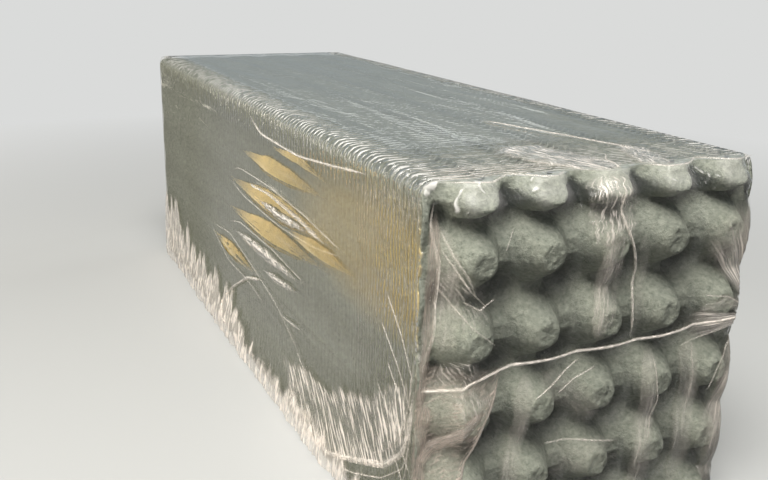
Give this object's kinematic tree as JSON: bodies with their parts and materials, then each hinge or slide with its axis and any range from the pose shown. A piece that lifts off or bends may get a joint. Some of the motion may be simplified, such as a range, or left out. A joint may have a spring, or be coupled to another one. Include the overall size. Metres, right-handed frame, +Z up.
{
  "type": "shrink-wrapped bundle of moulded pulp trays",
  "caption": "Long stack of nested moulded-pulp trays lying on its side, wrapped all round in clear shrink film, bumps showing at the front end.",
  "frame": {"origin": "bottom centre of the bounding box, on the flat underside of the film", "axes": "+Z up, Y along the stack with the front tray's bumps towards -Y, X across the trays"},
  "size_m": [0.297, 0.8704, 0.2926],
  "materials": {
    "moulded_pulp": "grey-green moulded waste-paper pulp, rough and matt",
    "clear_film": "clear polyethylene shrink film, glossy, creased and gathered"
  },
  "bodies": {
    "root": {"front_tray": "moulded_pulp", "back_tray": "moulded_pulp", "nested_tray_rims_1": "moulded_pulp", "nested_tray_rims_2": "moulded_pulp", "nested_tray_rims_3": "moulded_pulp", "nested_tray_rims_4": "moulded_pulp", "nested_tray_rims_5": "moulded_pulp", "nested_tray_rims_6": "moulded_pulp", "nested_tray_rims_7": "moulded_pulp", "nested_tray_rims_8": "moulded_pulp", "nested_tray_cells": "moulded_pulp", "shrink_film": "clear_film"}
  },
  "joints": []
}
